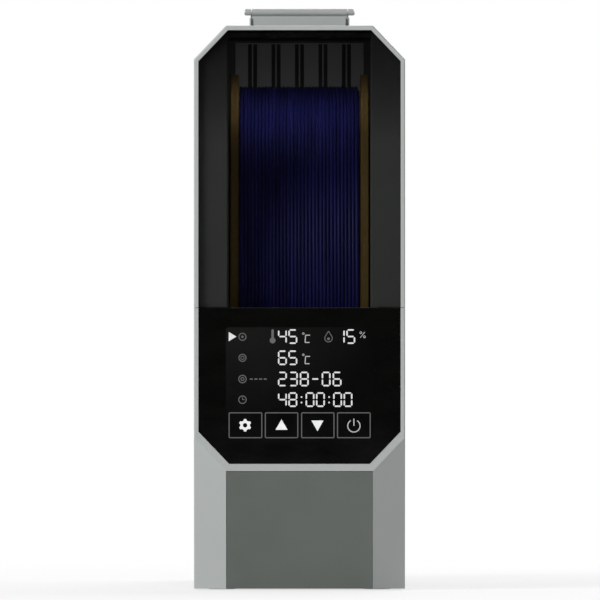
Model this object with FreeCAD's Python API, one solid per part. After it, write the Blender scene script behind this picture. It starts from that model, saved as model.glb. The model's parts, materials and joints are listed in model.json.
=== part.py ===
import FreeCAD, Part
import math
import os

# Filament dryer box, millimetres, front towards -Y, +Z up, origin under the middle

# Casing
width = 104.5
depth = 269.5
shell_top = 279.5
foot_height = 0.5
shell_wall = 2.2
edge_round = 0.7
corner_run = 15.9
corner_rise = 16.7
rim_low = 59.2
rim_band = 3.5
rake_deg = 20.0
seam_gap = 0.15
fit_gap = 0.2
bond_gap = 0.1

# Lid seam
seam_z = 140.0
seam_step = 17.6
seam_behind_chamber = 8.0

# Front glass and window
glass_thick = 2.2
glass_set = 0.3
front_wall = 2.0
window_thick = 3.0
lower_panel_thick = 1.6
lower_panel_set = 0.2

# Display stack
lcd_width = 75.0
lcd_low = 74.0
lcd_high = 131.5
lcd_thick = 4.6
board_thick = 1.6

# Loaded spool
spool_radius = 100.0
spool_front_gap = 18.75
spool_low = 55.0
spool_bore = 26.5
spool_core_radius = 50.0
flange_thick = 4.1
flange_gap = 60.6
filament_radius = 0.875
rim_over_winding = 5.9
winding_turns = 12
winding_span = 56.0

# Chamber tub and lid liner
side_gap = 1.8
liner_wall = 1.8
tub_floor = 48.0
tub_floor_thick = 2.0
tub_front_gap = 2.2
tub_rear_gap = 5.0
flange_sheet = 1.8
flange_drop = 1.0
ceiling_drop = 3.5
ceiling_thick = 1.6
ceiling_front = 30.0
column_edge = 35.1
column_thick = 2.0
column_bevel = 0.9
seal_width = 5.0
seal_deep = 2.6
seal_free = 0.3

# Rollers
roller_radius = 8.5
roller_angle = 35.0
roller_length = 8.2
roller_rub = 0.3
shaft_radius = 3.0
bush_radius = 5.5
bush_length = 6.0
boss_wall = 3.0
running_gap = 0.05

# Hinge
leaf_half = 25.1
leaf_height = 3.9
leaf_depth = 10.2
leaf_round = 0.5
leaf_cheek = 0.6
leaf_slot = 1.35
slot_deep = 3.5
leaf_gap = 1.05
leaf_screw_x = 16.0
axle_rise = 6.7
barrel_half = 24.0
barrel_radius = 1.7
knuckle_gap = 0.3
web_rise = 1.5
lug_width = 2.95
spine_gap = 0.5
spine_thick = 2.4
pin_radius = 0.95
pin_head = 1.3
pin_head_thick = 0.5

# Rear column
grille_slot = 4.5
grille_pitch = 11.8
grille_slots = 5
grille_vane = 0.8
grille_low = 222.0
grille_thick = 2.0
fan_size = 80.0
fan_thick = 15.0
fan_z = 130.0
fan_bore = 38.5
fan_hub = 15.0
fan_shaft = 1.5
fan_blades = 9
heater_thick = 15.0
heater_size = 76.0
cover_thick = 2.5
cover_set = 3.0
cover_stop = 1.4

# Bottom and rear fittings
bottom_thick = 2.4
pad_radius = 7.0
screw_radius = 1.2
screw_head = 2.7
screw_loose = 0.3
inlet_x = 22.0
inlet_z = 28.0
inlet_half = 13.5
inlet_rise = 9.8
blade_half = 1.0
blade_rise = 2.0
switch_x = -22.0
switch_z = 28.0
switch_half = 9.5
switch_rise = 6.5
switch_well = 8.4
switch_well_rise = 5.4
rocker_shaft = 1.0
rocker_tilt = 9.0
outlet_x = 14.0
outlet_y = -40.0
outlet_bore = 2.1
outlet_body = 4.8
outlet_brim = 7.0
brim_thick = 0.85
magnet_radius = 3.5
magnet_thick = 2.0
board_half = 37.0
board_front = -58.0
board_rear = 44.0

# Worked-out places
half = width / 2
front_y = -depth / 2
rear_y = depth / 2
rake = math.tan(math.radians(rake_deg))
corner_len = math.hypot(corner_run, corner_rise)
flat_half = half - corner_run
spool_y = front_y + spool_front_gap + spool_radius
spool_z = spool_low + spool_radius
spool_half = flange_gap / 2 + flange_thick
winding_radius = spool_radius - rim_over_winding
tub_half = spool_half + side_gap
tub_out = tub_half + liner_wall
tub_front = spool_y - spool_radius - tub_front_gap
tub_rear = spool_y + spool_radius + tub_rear_gap
tub_back = tub_rear + liner_wall
seam_turn = front_y + seam_step
seam_rear = tub_rear + seam_behind_chamber
seam_angle = math.atan2(shell_top - seam_z, seam_rear - seam_turn)
glass_back = front_y + glass_set + glass_thick
front_inner = glass_back + bond_gap + front_wall
inner_half = half - shell_wall
inner_top = shell_top - shell_wall
axle_y = seam_rear + 0.75
axle_z = shell_top + axle_rise
leaf_top = shell_top + leaf_height
lug_in = barrel_half + knuckle_gap
lug_out = lug_in + lug_width
roller_reach = spool_radius + roller_radius + roller_rub
roller_dy = roller_reach * math.sin(math.radians(roller_angle))
roller_z = spool_z - roller_reach * math.cos(math.radians(roller_angle))
cover_y = rear_y - cover_set
cover_in = cover_y - cover_thick
heater_y = tub_back + 2.4
fan_y = heater_y + heater_thick + 0.8
bottom_in = foot_height + bottom_thick
brim_low = shell_top - 0.9


def vec(x, y, z):
    return FreeCAD.Vector(x, y, z)


def box(x0, x1, y0, y1, z0, z1):
    return Part.makeBox(x1 - x0, y1 - y0, z1 - z0, vec(x0, y0, z0))


def face(points):
    return Part.Face(Part.makePolygon(points + [points[0]]))


def prism_x(yz, x0, x1):
    return face([vec(x0, y, z) for y, z in yz]).extrude(vec(x1 - x0, 0, 0))


def prism_y(xz, y0, y1):
    return face([vec(x, y0, z) for x, z in xz]).extrude(vec(0, y1 - y0, 0))


def prism_z(xy, z0, z1):
    return face([vec(x, y, z0) for x, y in xy]).extrude(vec(0, 0, z1 - z0))


def rod_x(radius, x0, x1, y, z):
    return Part.makeCylinder(radius, x1 - x0, vec(x0, y, z), vec(1, 0, 0))


def rod_y(radius, y0, y1, x, z):
    return Part.makeCylinder(radius, y1 - y0, vec(x, y0, z), vec(0, 1, 0))


def rod_z(radius, z0, z1, x, y):
    return Part.makeCylinder(radius, z1 - z0, vec(x, y, z0), vec(0, 0, 1))


def mirrored(shape):
    return shape.mirror(vec(0, 0, 0), vec(1, 0, 0))


def joined(shapes):
    return shapes[0].multiFuse(shapes[1:]).removeSplitter()


def without(shape, cutters):
    return shape.cut(Part.makeCompound(cutters))


def round_upright(shape, radius, ends):
    picked = [e for e in shape.Edges if abs(e.BoundBox.ZLength - ends) < 0.01]
    return shape.makeFillet(radius, picked)


# Section of the casing across its width, moved in by an even distance
def section(inset, low):
    z = shell_top - corner_rise - inset * (corner_len - corner_rise) / corner_run
    run = (inset * corner_len + (corner_rise - inset) * corner_run) / corner_rise
    x = half - inset
    top = shell_top - inset
    return [(-x, low), (-x, z), (run - half, top), (half - run, top), (x, z), (x, low)]


# Height of the octagon's lower outline at a distance from the middle
def low_line(x):
    return rim_low + max(0.0, abs(x) - flat_half) * corner_rise / corner_run


# Cutter for everything in front of the raked lower faces
def rake_cutter(y):
    wide = half + 3
    far = -200.0
    ring = [(-wide, low_line(wide)), (-flat_half, rim_low), (flat_half, rim_low)]
    ring = ring + [(wide, low_line(wide)), (wide, far), (-wide, far)]
    lead = 5.0
    start = [vec(x, y - lead * rake, z + lead) for x, z in ring]
    run = low_line(wide) + 20
    return face(start).extrude(vec(0, rake * run, -run))


def envelope(inset, y0, y1, low):
    return prism_y(section(inset, low), y0, y1).cut(rake_cutter(y0))


def outer_body():
    body = envelope(0, front_y, rear_y, foot_height)
    edges = [e for e in body.Edges if e.BoundBox.ZMax > foot_height + 0.1]
    return body.makeFillet(edge_round, edges)


# Seam line in the side view, moved up along its own normal
def seam_line(lift):
    level = seam_z + lift
    y = seam_turn - lift * math.sin(seam_angle)
    z = seam_z + lift * math.cos(seam_angle)
    turn = y + (level - z) / math.tan(seam_angle)
    end_z = shell_top + 40
    end = turn + (end_z - level) / math.tan(seam_angle)
    return [(front_y - 5, level), (turn, level), (end, end_z)]


def above_seam(lift):
    line = seam_line(lift)
    return prism_x(line + [(front_y - 5, line[2][1])], -half - 5, half + 5)


# Sheet lying along the seam between two lifts
def seam_sheet(low, high):
    return prism_x(seam_line(low) + seam_line(high)[::-1], -half - 5, half + 5)


# Point on the sloping part of the seam, at a place along the depth
def seam_point(x, y, lift):
    z = seam_z + (y - seam_turn) * math.tan(seam_angle)
    return vec(x, y - lift * math.sin(seam_angle), z + lift * math.cos(seam_angle))


seam_normal = vec(0, -math.sin(seam_angle), math.cos(seam_angle))


# Lower half of the octagon inside the rim, moved in further by a fit
def glass_outline(inset, top):
    band = rim_band + inset
    x = inner_half - inset
    low = rim_low + band
    rise = (band * corner_len - (shell_wall + inset) * corner_rise) / corner_run
    z = rim_low + corner_rise + rise
    run = (band * corner_len + (corner_rise - band) * corner_run) / corner_rise
    return [(-x, top), (-x, z), (run - half, low), (half - run, low), (x, z), (x, top)]


def rear_screw_spots():
    rows = [22.0, fan_z + 62, shell_top - 34]
    return [(side * (inner_half - 4.6), z) for side in (-1, 1) for z in rows]


def bottom_screw_spots():
    return [(side * (inner_half - 6.0), y) for side in (-1, 1) for y in (front_y + 66, 62.0)]


def pad_spots():
    return [(side * (half - 14), y) for side in (-1, 1) for y in (front_y + 45, rear_y - 18)]


def lid_screw_spots():
    return [(side * leaf_screw_x, lid_leaf_y() + leaf_depth / 2) for side in (-1, 1)]


def base_screw_spots():
    return [(side * leaf_screw_x, base_leaf_y() + leaf_depth * 0.66) for side in (-1, 1)]


def pad_clear(x, y):
    return rod_z(pad_radius + fit_gap, foot_height - 1, foot_height + 1.5, x, y)


def lower_panel_block(front, back, top, low):
    side = [(front_y + rake * (rim_low - top) + front, top)]
    side = side + [(front_y + rake * (rim_low - top) + back, top)]
    side = side + [(front_y + rake * (rim_low - low) + back, low)]
    side = side + [(front_y + rake * (rim_low - low) + front, low)]
    return side


# Rib around the top of the rear opening, which the rear cover rests against
def cover_rib():
    low = shell_top - corner_rise - 10
    ring = prism_y(section(shell_wall - 0.5, low), cover_in - cover_stop, cover_in)
    return ring.cut(prism_y(section(shell_wall + cover_stop, low - 1), cover_in - 9, cover_in + 9))


def base_shell():
    shell = outer_body().cut(above_seam(-seam_gap))
    cutters = [envelope(shell_wall, front_inner, rear_y + 10, -20)]
    cutters.append(prism_y(glass_outline(0, seam_z + 9), front_y - 1, glass_back + bond_gap))
    gap = 0.4
    wide = lcd_width / 2 + gap
    cutters.append(box(-wide, wide, front_y, front_inner + 1, lcd_low - gap, lcd_high + gap))
    recess = lower_panel_block(-4, lower_panel_set + lower_panel_thick + bond_gap, rim_low, -4)
    cutters.append(prism_x(recess, -flat_half, flat_half))
    for row in range(6):
        y = 24 + row * 7.0
        for side in (-1, 1):
            x = side * half
            cutters.append(box(x - 4, x + 4, y, y + 2.6, 14, 34))
    notch_y = front_y + 26
    for side in (-1, 1):
        x = side * (half - 0.1)
        notch = rod_x(11, x - 1.1, x + 1.1, notch_y, seam_point(0, notch_y, 0).z)
        cutters.append(notch)
    shell = without(shell, cutters)
    posts = []
    for x, z in rear_screw_spots():
        side = math.copysign(1, x)
        reach = side * (inner_half + 0.6)
        post = rod_y(3.4, cover_in - 13, cover_in, x, z)
        web = box(min(x, reach), max(x, reach), cover_in - 13, cover_in, z - 3.4, z + 3.4)
        posts.append(post.fuse(web))
    for x, y in bottom_screw_spots():
        side = math.copysign(1, x)
        reach = side * (inner_half + 0.6)
        post = rod_z(3.4, bottom_in, bottom_in + 14, x, y)
        web = box(min(x, reach), max(x, reach), y - 3.4, y + 3.4, bottom_in, bottom_in + 14)
        posts.append(post.fuse(web))
    shell = joined([shell] + posts + [cover_rib()])
    pilots = [rod_y(screw_radius, cover_in - 11, cover_in + 1, x, z) for x, z in rear_screw_spots()]
    for x, y in bottom_screw_spots():
        pilots.append(rod_z(screw_radius, bottom_in - 1, bottom_in + 12, x, y))
    for x, y in base_screw_spots():
        pilots.append(rod_z(screw_radius, shell_top - 6, shell_top + 1, x, y))
    return without(shell, pilots)


def lower_panel():
    top = rim_low - 0.3
    side = lower_panel_block(lower_panel_set, lower_panel_set + lower_panel_thick, top, foot_height + 0.3)
    return prism_x(side, -flat_half + 0.15, flat_half - 0.15)


def display_glass():
    top = seam_z - seam_gap
    plate = prism_y(glass_outline(fit_gap, top), front_y + glass_set, glass_back)
    rims = [e for e in plate.Edges if abs(e.BoundBox.YMax - front_y - glass_set) < 0.01]
    return plate.makeChamfer(0.25, [e for e in rims if e.BoundBox.ZMin < top - 0.01])


def lcd_module():
    y = glass_back + bond_gap
    return box(-lcd_width / 2, lcd_width / 2, y, y + lcd_thick, lcd_low, lcd_high)


def control_board():
    y = glass_back + bond_gap + lcd_thick
    return box(-39.0, 39.0, y, y + board_thick, lcd_low - 4, lcd_high + 2)


def control_parts():
    y = glass_back + bond_gap + lcd_thick + board_thick
    parts = [box(-9, 9, y, y + 1.6, 98, 116)]
    parts.append(rod_y(5.0, y, y + 3.0, -26, 92))
    parts.append(box(14, 30, y, y + 2.6, 78, 84))
    parts.append(box(20, 28, y, y + 1.4, 104, 110))
    return Part.makeCompound(parts)


def roller_ys():
    return [spool_y - roller_dy, spool_y + roller_dy]


def tub():
    top = shell_top
    walls = box(-tub_out, tub_out, tub_front - liner_wall, tub_back, tub_floor, top)
    inner = box(-tub_half, tub_half, tub_front, tub_rear, tub_floor + tub_floor_thick, top + 9)
    limit = envelope(shell_wall + fit_gap, front_inner + fit_gap, tub_back + 1.5, tub_floor - 1)
    walls = walls.cut(inner).cut(above_seam(-flange_drop)).common(limit)
    sheet = seam_sheet(-flange_drop - flange_sheet, -flange_drop).common(limit).cut(inner)
    bosses = []
    for y in roller_ys():
        boss = rod_x(bush_radius + boss_wall, tub_out - 0.5, tub_half + bush_length, y, roller_z)
        bosses.append(boss)
        bosses.append(mirrored(boss))
    body = joined([walls, sheet] + bosses)
    cutters = []
    for y in roller_ys():
        cutters.append(rod_x(bush_radius, -half, half, y, roller_z))
    opening = grille_half() - 2.5
    cutters.append(box(-opening, opening, tub_rear - 1, tub_back + 1, grille_low + 4, grille_top() - 2.1))
    for row in range(9):
        z = fan_z - 33 + row * 7.5
        cutters.append(box(-31, 31, tub_rear - 1, tub_back + 1, z, z + 4))
    for row in range(7):
        y = spool_y - 24 + row * 7.5
        cutters.append(box(-22, 22, y, y + 3, tub_floor - 1, tub_floor + tub_floor_thick + 1))
    cutters.append(rod_y(4.0, tub_rear - 1, tub_back + 1, 24, 196))
    return without(body, cutters)


def grille_half():
    return tub_half - 1.5


def grille_top():
    return seam_point(0, tub_back, 0).z - 2.6


def rear_grille():
    y0 = tub_back + bond_gap
    plate = box(-grille_half(), grille_half(), y0, y0 + grille_thick, grille_low, grille_top() - 1.5)
    slots = []
    vanes = []
    for i in range(grille_slots):
        x = (i - (grille_slots - 1) / 2) * grille_pitch
        low = grille_low + 7
        high = grille_top() - 2.8
        slots.append(box(x - grille_slot / 2, x + grille_slot / 2, y0 - 1, y0 + grille_thick + 1, low, high))
        vanes.append(box(x - grille_vane / 2, x + grille_vane / 2, y0, y0 + grille_thick, low - 1, high + 1))
    return joined([without(plate, slots)] + vanes)


def bush(side, y):
    x0 = tub_half if side > 0 else -tub_half - bush_length
    shell = rod_x(bush_radius, x0, x0 + bush_length, y, roller_z)
    return shell.cut(rod_x(shaft_radius + running_gap, x0 - 1, x0 + bush_length + 1, y, roller_z))


def roller_bushes():
    return Part.makeCompound([bush(side, y) for side in (-1, 1) for y in roller_ys()])


def roller_shaft(y):
    end = tub_half + bush_length - 0.4
    shaft = rod_x(shaft_radius, -end, end, y, roller_z)
    edges = [e for e in shaft.Edges if e.BoundBox.XLength < 0.01]
    return shaft.makeChamfer(0.4, edges)


def roller_tyres(y):
    x1 = tub_half - 1.0
    x0 = x1 - roller_length
    tyre = rod_x(roller_radius, x0, x1, y, roller_z)
    edges = [e for e in tyre.Edges if e.BoundBox.XLength < 0.01]
    tyre = tyre.makeFillet(0.8, edges).cut(rod_x(shaft_radius, x0 - 1, x1 + 1, y, roller_z))
    return Part.makeCompound([tyre, mirrored(tyre)])


def spool_flange(side):
    x0 = flange_gap / 2 if side > 0 else -flange_gap / 2 - flange_thick
    disc = rod_x(spool_radius, x0, x0 + flange_thick, spool_y, spool_z)
    rims = [e for e in disc.Edges if e.BoundBox.XLength < 0.01]
    disc = disc.makeFillet(0.5, rims)
    cutters = [rod_x(spool_bore, x0 - 1, x0 + flange_thick + 1, spool_y, spool_z)]
    for deg in (40, 160, 280):
        y = spool_y + (spool_radius - 3.2) * math.cos(math.radians(deg))
        z = spool_z + (spool_radius - 3.2) * math.sin(math.radians(deg))
        cutters.append(rod_x(1.5, x0 - 1, x0 + flange_thick + 1, y, z))
    return without(disc, cutters)


def spool_core():
    x = flange_gap / 2
    tube = rod_x(spool_core_radius, -x, x, spool_y, spool_z)
    return tube.cut(rod_x(spool_bore, -x - 1, x + 1, spool_y, spool_z))


def filament_core():
    x = flange_gap / 2 - 0.4
    outer = winding_radius - 2 * filament_radius - 0.3
    ring = rod_x(outer, -x, x, spool_y, spool_z)
    return ring.cut(rod_x(spool_core_radius, -x - 1, x + 1, spool_y, spool_z))


def turn_point(angle):
    radius = winding_radius - filament_radius
    pitch = winding_span / winding_turns
    x = -winding_span / 2 + pitch * angle / (2 * math.pi)
    return vec(x, spool_y + radius * math.cos(angle), spool_z + radius * math.sin(angle))


def turn_way(angle):
    radius = winding_radius - filament_radius
    pitch = winding_span / winding_turns
    way = vec(pitch / (2 * math.pi), -radius * math.sin(angle), radius * math.cos(angle))
    return way.normalize()


# Circular arc that leaves a point along a direction and ends at another point
def arc_from(point, way, end):
    chord = end - point
    across = chord - way * chord.dot(way)
    across.normalize()
    radius = chord.dot(chord) / (2 * chord.dot(across))
    centre = point + across * radius
    middle = (point - centre) + (end - centre)
    middle.normalize()
    return Part.Arc(point, centre + middle * radius, end).toShape()


# Two arcs that leave one point and reach another along given directions
def biarc(p0, t0, p1, t1):
    v = p1 - p0
    total = t0 + t1
    a = 2 * (1 - t0.dot(t1))
    b = 2 * v.dot(total)
    c = -v.dot(v)
    d = (-b + math.sqrt(b * b - 4 * a * c)) / (2 * a)
    mid = (p0 + t0 * d + p1 - t1 * d) * 0.5
    first = arc_from(p0, t0, mid)
    second = arc_from(p1, t1 * -1, mid)
    second.reverse()
    return [first, second]


def filament_winding():
    edges = []
    step = math.pi / 2
    count = winding_turns * 4
    straight = 2 * filament_radius
    start = turn_point(0) - turn_way(0) * straight
    edges.append(Part.makeLine(start, turn_point(0)))
    for i in range(count):
        a0 = i * step
        a1 = a0 + step
        edges = edges + biarc(turn_point(a0), turn_way(a0), turn_point(a1), turn_way(a1))
    last = turn_point(count * step)
    edges.append(Part.makeLine(last, last + turn_way(count * step) * straight))
    path = Part.Wire(Part.__sortEdges__(edges))
    ring = Part.Wire(Part.makeCircle(filament_radius, start, turn_way(0)))
    tube = path.makePipeShell([ring], True, False)
    points = [turn_point(2 * math.pi * k / 48) for k in range(winding_turns * 48 + 1)]
    least = min((points[k] - points[k + 48]).Length for k in range(len(points) - 48))
    print("filament winding least gap to itself %.3f mm" % (least - 2 * filament_radius))
    return tube


def lid_shell():
    lid = outer_body().common(above_seam(seam_gap))
    cutters = [prism_y(section(shell_wall, -20), front_y - 9, rear_y + 9)]
    for side in (-1, 1):
        x = side * outlet_x
        cutters.append(rod_z(outlet_body + fit_gap, inner_top - 2, shell_top + 1, x, outlet_y))
        cutters.append(rod_z(outlet_brim + fit_gap, brim_low, shell_top + 1, x, outlet_y))
    for x, y in lid_screw_spots():
        cutters.append(rod_z(screw_radius, shell_top - 6, shell_top + 1, x, y))
    return without(lid, cutters)


def window():
    y0 = front_y + glass_set
    low = seam_z + seam_gap
    plate = prism_y(section(shell_wall + 0.15, low), y0, y0 + window_thick)
    rims = [e for e in plate.Edges if abs(e.BoundBox.YMax - y0) < 0.01]
    return plate.makeChamfer(0.25, [e for e in rims if e.BoundBox.ZMax > low + 0.01])


def window_column():
    y0 = front_y + glass_set + window_thick + bond_gap
    y1 = y0 + column_thick
    x1 = inner_half - fit_gap
    plan = [(column_edge + column_bevel, y0), (x1, y0), (x1, y1), (column_edge, y1)]
    plan.append((column_edge, y0 + column_bevel))
    column = prism_z(plan, seam_z + seam_gap, shell_top)
    low = seam_z + seam_gap
    wedge = [(y0 - 1, low - 1), (y0 + column_bevel, low - 1), (y0 - 1, low + column_bevel + 1)]
    bevel = prism_x(wedge, 30, half)
    return column.cut(bevel).common(prism_y(section(shell_wall + fit_gap, 0), front_y, rear_y))


def lid_liner():
    y0 = front_y + glass_set + window_thick + bond_gap + column_thick
    top = shell_top - ceiling_drop
    limit = prism_y(section(shell_wall + fit_gap, 0), front_y, rear_y)
    wall = box(tub_half, tub_out, y0 - 0.5, rear_y, seam_z, top)
    ceiling = box(-tub_out, tub_out, front_y + ceiling_front, rear_y, top - ceiling_thick, top)
    opening = box(-tub_half, tub_half, front_y - 9, tub_rear - 3, 0, shell_top + 90)
    front_cut = box(-half, half, front_y - 9, y0 - 0.5, 0, shell_top + 90)
    sheet = seam_sheet(flange_drop, flange_drop + flange_sheet).common(limit)
    sheet = sheet.cut(opening).cut(front_cut).common(box(-half, half, front_y, rear_y, 0, top))
    walls = [shape.common(above_seam(flange_drop)) for shape in (wall, mirrored(wall), ceiling)]
    columns = [window_column(), mirrored(window_column())]
    body = joined(walls + [sheet] + columns).common(limit)
    hole = outlet_body + fit_gap
    holes = [rod_z(hole, top - 9, top + 9, side * outlet_x, outlet_y) for side in (-1, 1)]
    return without(body, holes)


def front_seal_y():
    return front_inner + fit_gap + bond_gap


def lid_seal():
    limit = prism_y(section(shell_wall + 1.0, 0), front_y, rear_y)
    sheet = seam_sheet(-flange_drop + seal_free, flange_drop).common(limit)
    y0 = front_seal_y() + seal_deep + 0.75
    outer = box(-tub_out - seal_width, tub_out + seal_width, y0, tub_rear + 2.5, 0, 2 * shell_top)
    inner = box(-tub_out - 0.4, tub_out + 0.4, y0 - 1, tub_rear - 2.5, 0, 2 * shell_top)
    return sheet.common(outer).cut(inner)


def magnets(lift, way):
    shapes = []
    for side in (-1, 1):
        spot = seam_point(side * (inner_half - 5.5), front_y + 24, lift)
        shapes.append(Part.makeCylinder(magnet_radius, magnet_thick, spot, seam_normal * way))
    return Part.makeCompound(shapes)


def lid_magnets():
    return magnets(flange_drop + flange_sheet, 1)


def base_magnets():
    return magnets(-flange_drop - flange_sheet, -1)


def lid_leaf_y():
    return axle_y - leaf_gap - leaf_depth


def base_leaf_y():
    return axle_y + leaf_gap


def leaf_block(y0):
    block = box(-leaf_half, leaf_half, y0, y0 + leaf_depth, shell_top, leaf_top)
    return round_upright(block, leaf_round, leaf_height)


def leaf_cutters(spots):
    cutters = [rod_x(pin_radius + running_gap, -half, half, axle_y, axle_z)]
    for x, y in spots:
        cutters.append(rod_z(screw_radius + fit_gap, shell_top - 1, leaf_top + 1, x, y))
        cutters.append(rod_z(screw_head + fit_gap, leaf_top - 2.0, leaf_top + 4, x, y))
    return cutters


# Lid leaf with one long barrel standing over its rear edge, and a slot near each end of its front
def lid_hinge_leaf():
    rear = axle_y - leaf_gap
    barrel = rod_x(barrel_radius, -barrel_half, barrel_half, axle_y, axle_z)
    low = shell_top + web_rise
    web = [(rear - 0.3, low), (axle_y + 0.4, low), (axle_y + 0.8, axle_z - 1.2), (axle_y, axle_z)]
    web = web + [(axle_y - 0.1, axle_z - 1.4), (axle_y - 0.1, leaf_top), (rear - 0.3, leaf_top)]
    leaf = joined([leaf_block(lid_leaf_y()), barrel, prism_x(web, -barrel_half, barrel_half)])
    out = leaf_half - leaf_cheek
    front = lid_leaf_y()
    slot = box(out - leaf_slot, out, front - 1, front + slot_deep, shell_top - 1, leaf_top + 1)
    return without(leaf, leaf_cutters(lid_screw_spots()) + [slot, mirrored(slot)])


# Base leaf with a spine behind the barrel and a lug past each of its ends
def base_hinge_leaf():
    near = axle_y + barrel_radius + spine_gap
    far = near + spine_thick
    low = axle_z - barrel_radius + 0.05
    high = axle_z + 0.9
    inside = leaf_half - leaf_round
    lug = rod_x(barrel_radius - 0.05, lug_in, lug_out, axle_y, axle_z)
    arm = box(lug_in, lug_out, axle_y, far, low, high)
    shapes = [leaf_block(base_leaf_y()), box(-inside, inside, near, far, leaf_top - 1, high)]
    shapes = shapes + [box(-lug_out, lug_out, near, far, low, high)]
    shapes = shapes + [lug, arm, mirrored(lug), mirrored(arm)]
    return without(joined(shapes), leaf_cutters(base_screw_spots()))


def leaf_screw(x, y):
    head = rod_z(screw_head, leaf_top - 2.0, leaf_top - 0.3, x, y)
    shank = rod_z(screw_radius - 0.05, shell_top - 2.0, leaf_top - 2.0, x, y)
    slot = box(x - 2, x + 2, y - 0.35, y + 0.35, leaf_top - 1.0, leaf_top)
    return head.fuse(shank).cut(slot)


def lid_hinge_screws():
    return Part.makeCompound([leaf_screw(x, y) for x, y in lid_screw_spots()])


def base_hinge_screws():
    return Part.makeCompound([leaf_screw(x, y) for x, y in base_screw_spots()])


def hinge_pin():
    end = lug_out + pin_head_thick
    pin = rod_x(pin_radius, -lug_out, lug_out, axle_y, axle_z)
    head = rod_x(pin_head, lug_out, end, axle_y, axle_z)
    head = head.makeFillet(0.3, [e for e in head.Edges if abs(e.BoundBox.XMin - end) < 0.01])
    return joined([pin, head, mirrored(head)])


def outlet_grommet(x):
    low = shell_top - ceiling_drop - ceiling_thick - 1.2
    top = brim_low + brim_thick
    body = rod_z(outlet_body, low, top - 0.4, x, outlet_y)
    brim = rod_z(outlet_brim, brim_low, top, x, outlet_y)
    brim = brim.makeFillet(0.3, [e for e in brim.Edges if abs(e.BoundBox.ZMin - top) < 0.01])
    return joined([body, brim]).cut(rod_z(outlet_bore, low - 1, shell_top + 1, x, outlet_y))


def outlet_grommets():
    return Part.makeCompound([outlet_grommet(side * outlet_x) for side in (-1, 1)])


def cover_hole(x, wide, z, tall):
    return box(x - wide, x + wide, cover_in - 1, cover_y + 1, z - tall, z + tall)


def rear_cover():
    plate = prism_y(section(shell_wall + 0.25, foot_height + 0.4), cover_in, cover_y)
    cutters = []
    for x, z in rear_screw_spots():
        cutters.append(rod_y(screw_radius + screw_loose, cover_in - 1, cover_y + 1, x, z))
    for row in range(6):
        z = 196 + row * 6.5
        cutters.append(box(-24, 24, cover_in - 1, cover_y + 1, z, z + 3))
    cutters.append(cover_hole(inlet_x, inlet_half + fit_gap, inlet_z, inlet_rise + fit_gap))
    cutters.append(cover_hole(switch_x, switch_half + fit_gap, switch_z, switch_rise + fit_gap))
    return without(plate, cutters)


def pan_screw_y(x, z):
    head = rod_y(screw_head, cover_y, cover_y + 1.6, x, z)
    head = head.makeFillet(0.6, [e for e in head.Edges if abs(e.BoundBox.YMin - cover_y - 1.6) < 0.01])
    shank = rod_y(screw_radius - 0.05, cover_in - 9, cover_y, x, z)
    slot = box(x - 1.6, x + 1.6, cover_y + 0.8, cover_y + 3, z - 0.35, z + 0.35)
    cross = box(x - 0.35, x + 0.35, cover_y + 0.8, cover_y + 3, z - 1.6, z + 1.6)
    return without(head.fuse(shank), [slot, cross])


def rear_cover_screws():
    return Part.makeCompound([pan_screw_y(x, z) for x, z in rear_screw_spots()])


# Lower front edge of the hollow at a height, at a distance from the middle
def hollow_front(x, z):
    return front_inner + rake * (low_line(x) - z)


def bottom_cover():
    edge = inner_half - fit_gap
    y0 = hollow_front(0, foot_height) + 0.4
    y1 = hollow_front(edge, foot_height) + 0.4
    plan = [(-flat_half, y0), (flat_half, y0), (edge, y1), (edge, cover_in - 0.3)]
    plan = plan + [(-edge, cover_in - 0.3), (-edge, y1)]
    plate = prism_z(plan, foot_height, bottom_in)
    posts = []
    for x, y in board_posts():
        posts.append(rod_z(3.0, bottom_in - 0.5, power_z(), x, y))
    plate = joined([plate] + posts)
    cutters = [pad_clear(x, y) for x, y in pad_spots()]
    for x, y in bottom_screw_spots():
        cutters.append(rod_z(screw_radius + screw_loose, 0, bottom_in + 1, x, y))
        cutters.append(rod_z(screw_head + screw_loose, 0, foot_height + 1.4, x, y))
    for row in range(9):
        y = -36 + row * 7.0
        cutters.append(box(-18, 18, y, y + 3, 0, bottom_in + 1))
    return without(plate, cutters)


def bottom_screw(x, y):
    head = rod_z(screw_head, foot_height + 0.1, foot_height + 1.4, x, y)
    shank = rod_z(screw_radius - 0.05, foot_height + 1.4, bottom_in + 9, x, y)
    slot = box(x - 1.6, x + 1.6, y - 0.35, y + 0.35, 0, foot_height + 0.8)
    return head.fuse(shank).cut(slot)


def bottom_cover_screws():
    return Part.makeCompound([bottom_screw(x, y) for x, y in bottom_screw_spots()])


def rubber_feet():
    pads = []
    for x, y in pad_spots():
        pad = rod_z(pad_radius, 0, foot_height + 1.5, x, y)
        pads.append(pad.makeFillet(0.4, [e for e in pad.Edges if e.BoundBox.ZMax < 0.01]))
    return Part.makeCompound(pads)


def power_z():
    return bottom_in + 6.0


def board_posts():
    return [(side * 32.0, y) for side in (-1, 1) for y in (board_front + 6, board_rear - 6)]


def block_face():
    return board_rear - 3 + fit_gap


def power_board():
    return box(-board_half, board_half, board_front, board_rear, power_z(), power_z() + board_thick)


def power_parts():
    z = power_z() + board_thick
    parts = [box(-14, 14, -26, -2, z, z + 20)]
    parts.append(rod_z(8.0, z, z + 24, 24, -20))
    parts.append(rod_z(5.0, z, z + 16, 24, 4))
    parts.append(box(-33, -29, -40, 6, z, z + 18))
    parts.append(box(-20, 20, board_rear - 14, board_rear - 3, z, z + 11))
    parts.append(box(-12, 12, board_front + 3, board_front + 11, z, z + 7))
    parts.append(box(-12, 6, 8, 22, z, z + 15))
    return Part.makeCompound(parts)


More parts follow.
